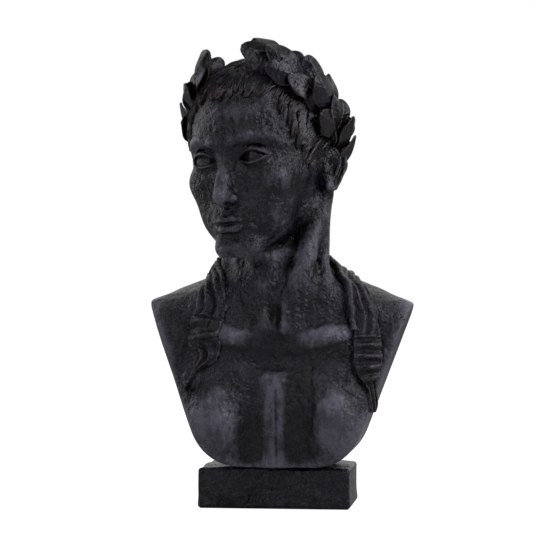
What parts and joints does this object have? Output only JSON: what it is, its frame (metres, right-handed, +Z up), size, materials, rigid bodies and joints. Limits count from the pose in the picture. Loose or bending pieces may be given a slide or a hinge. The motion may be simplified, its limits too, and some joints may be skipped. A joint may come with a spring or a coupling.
{
  "type": "resin bust",
  "caption": "Black cast-resin bust of a man with a laurel wreath, ribbons over both shoulders, on a block base.",
  "frame": {"origin": "centre of the block base's underside", "axes": "+Z up through the head, -Y the way the chest faces, +X to the viewer's right"},
  "size_m": [0.2849, 0.2077, 0.5076],
  "materials": {
    "black_resin": "satin black patina, rubbed brown on raised edges"
  },
  "bodies": {
    "root": {"bust": "black_resin"}
  },
  "joints": []
}
